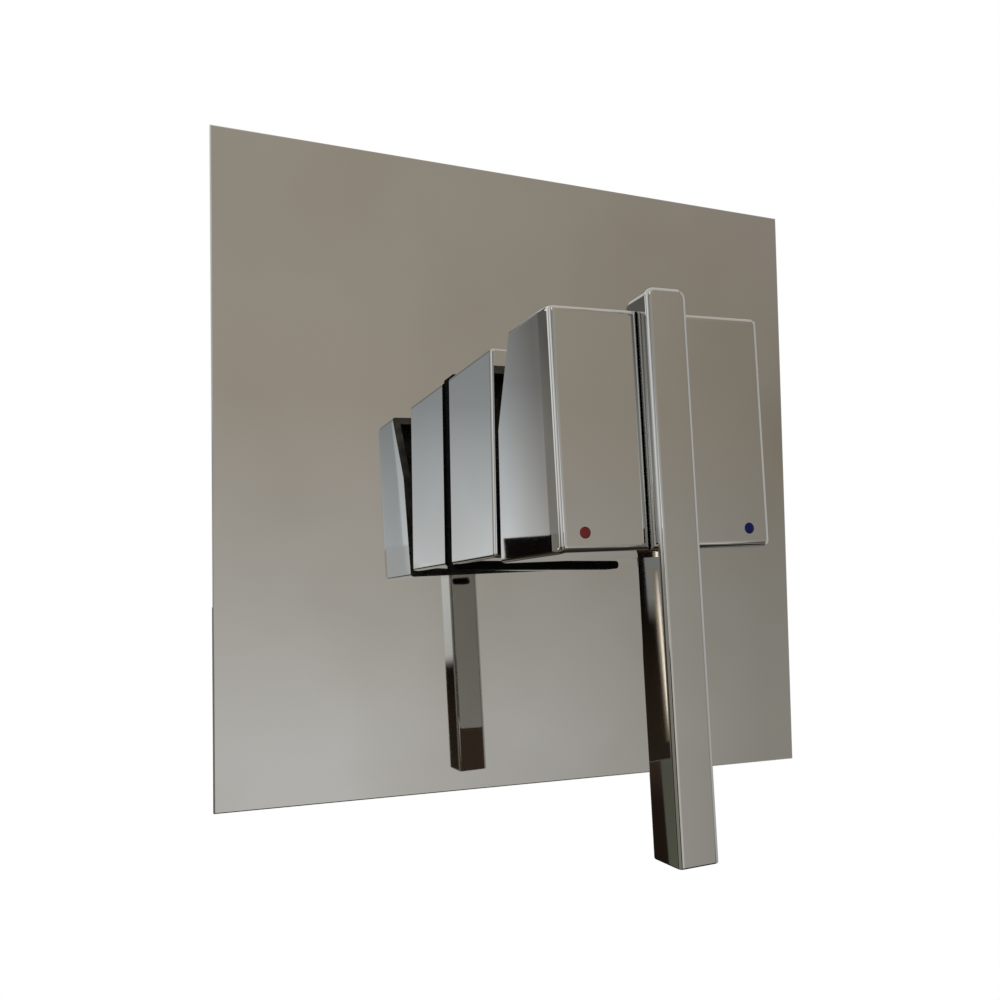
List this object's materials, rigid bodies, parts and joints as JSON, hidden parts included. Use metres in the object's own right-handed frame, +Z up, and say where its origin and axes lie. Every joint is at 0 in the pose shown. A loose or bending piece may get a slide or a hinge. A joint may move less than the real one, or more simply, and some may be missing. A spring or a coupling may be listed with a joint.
{
  "type": "concealed shower mixer",
  "caption": "In-wall single lever shower mixer: square chrome cover plate, sleeve and lever handle over a brass valve body; the lever turns for temperature and tilts for flow.",
  "frame": {"origin": "the wall's finished face, on the mixing axis, behind the middle of the cover plate", "axes": "+X to the user's right, +Y into the wall, +Z up towards the shower outlet"},
  "size_m": [0.18, 0.1316, 0.1864],
  "materials": {
    "chrome": "mirror polished chrome plate",
    "black_rubber": "matt black",
    "grey_foam": "closed cell foam",
    "brass": "cast and machined",
    "steel": "plain stainless",
    "white_plastic": "moulded",
    "grey_plastic": "moulded",
    "black_plastic": "moulded",
    "alumina": "lapped",
    "red_enamel": "glossy",
    "blue_enamel": "glossy"
  },
  "bodies": {
    "wall_set": {"plate_gasket": "grey_foam", "cover_plate": "chrome", "sleeve_seal": "black_rubber", "sleeve": "chrome", "sleeve_bush": "black_plastic", "neck_rings": "black_rubber", "valve_body": "brass", "outlet_plug": "brass", "plug_seal": "black_rubber", "cartridge_base": "grey_plastic", "base_seals": "black_rubber", "fixed_disc": "alumina", "cartridge_housing": "white_plastic", "cartridge_nut": "brass", "slip_ring": "grey_plastic"},
    "swivel": {"swivel_guide": "grey_plastic", "pivot_pin": "steel"},
    "handle": {"stem": "brass", "handle_block": "chrome", "lever_bar": "chrome", "lever_screws": "steel", "set_screw": "steel", "screw_cap": "chrome", "hot_dot": "red_enamel", "cold_dot": "blue_enamel"},
    "discs": {"moving_disc": "alumina", "disc_carrier": "white_plastic"}
  },
  "joints": [
    {"name": "temperature", "type": "hinge", "parent": "wall_set", "child": "swivel", "pos_m": [0, 0, 0], "axis": [0, 1, 0], "range_deg": [-42.9, 47.1]},
    {"name": "flow_lift", "type": "hinge", "parent": "swivel", "child": "handle", "pos_m": [0, -0.028, 0], "axis": [-0.9993, 0, -0.0366], "range_deg": [0, 25]},
    {"name": "disc_slide", "type": "slide", "parent": "swivel", "child": "discs", "axis": [0.0366, 0, -0.9993], "range_m": [0, 0.00549]}
  ],
  "couplings": [
    {"joint": "disc_slide", "follows": "flow_lift", "m_per_rad": 0.012591}
  ]
}
